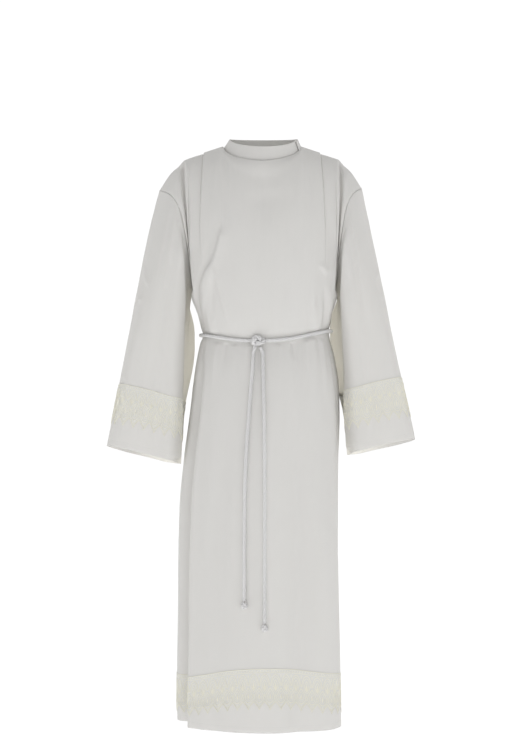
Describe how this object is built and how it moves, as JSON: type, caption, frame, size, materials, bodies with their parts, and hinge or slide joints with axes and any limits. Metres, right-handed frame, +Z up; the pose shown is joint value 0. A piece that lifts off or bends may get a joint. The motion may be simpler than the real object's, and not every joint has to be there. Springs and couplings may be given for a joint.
{
  "type": "alb with rope cincture",
  "caption": "Full-length white liturgical alb with wide sleeves, stand collar, lace bands at hem and cuffs and a rope belt, hollow as worn.",
  "frame": {"origin": "midway between the wearer's shoulders, level with the sides of the neck seam, where the wearer holds the garment up", "axes": "+Z up, -Y towards the front of the garment, +X towards the wearer's left"},
  "size_m": [0.7382, 0.3573, 1.3941],
  "materials": {
    "cloth": "fine white polyester and viscose plain weave, soft matt",
    "lace": "ivory corded lace, slight sheen on its cords",
    "rope": "white twisted rope, slight silky sheen"
  },
  "bodies": {
    "root": {"front_panel": "cloth", "hem_lace_front": "lace", "back_panel": "cloth", "hem_lace_back": "lace", "right_sleeve": "cloth", "right_cuff_lace": "lace", "left_sleeve": "cloth", "left_cuff_lace": "lace", "collar": "cloth", "belt_cord": "rope", "belt_knot": "rope", "belt_end_short": "rope", "belt_end_short_knot": "rope", "belt_end_long": "rope", "belt_end_long_knot": "rope"}
  },
  "joints": []
}
